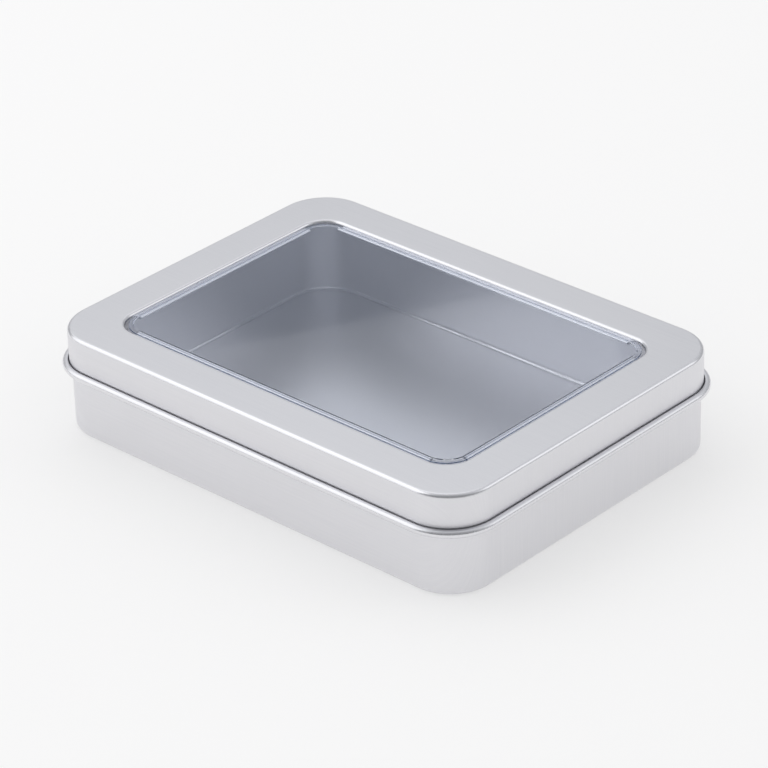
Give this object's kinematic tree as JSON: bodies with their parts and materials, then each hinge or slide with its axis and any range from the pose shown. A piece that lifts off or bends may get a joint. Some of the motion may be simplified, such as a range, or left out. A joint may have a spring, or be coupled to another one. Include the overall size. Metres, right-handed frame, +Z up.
{
  "type": "window lid tin",
  "caption": "Rectangular tinplate tin with rounded corners: a drawn base and a slip-over lid with a rolled bead and a clear plastic window; the lid lifts straight off.",
  "frame": {"origin": "middle of the flat bottom of the base", "axes": "+X along the long side, +Y along the short side, +Z up, the way the lid lifts"},
  "size_m": [0.115, 0.086, 0.023],
  "materials": {
    "base_tinplate": "satin drawn tinplate with a fine brushed grain",
    "lid_tinplate": "satin drawn tinplate with a fine brushed grain",
    "clear_plastic": "clear formed sheet, glossy"
  },
  "bodies": {
    "base": {"tin_base": "base_tinplate"},
    "lid": {"tin_lid": "lid_tinplate", "lid_window": "clear_plastic"}
  },
  "joints": [
    {"name": "lid_lift", "type": "slide", "parent": "base", "child": "lid", "axis": [0, 0, 1], "range_m": [0, 0.05]}
  ]
}
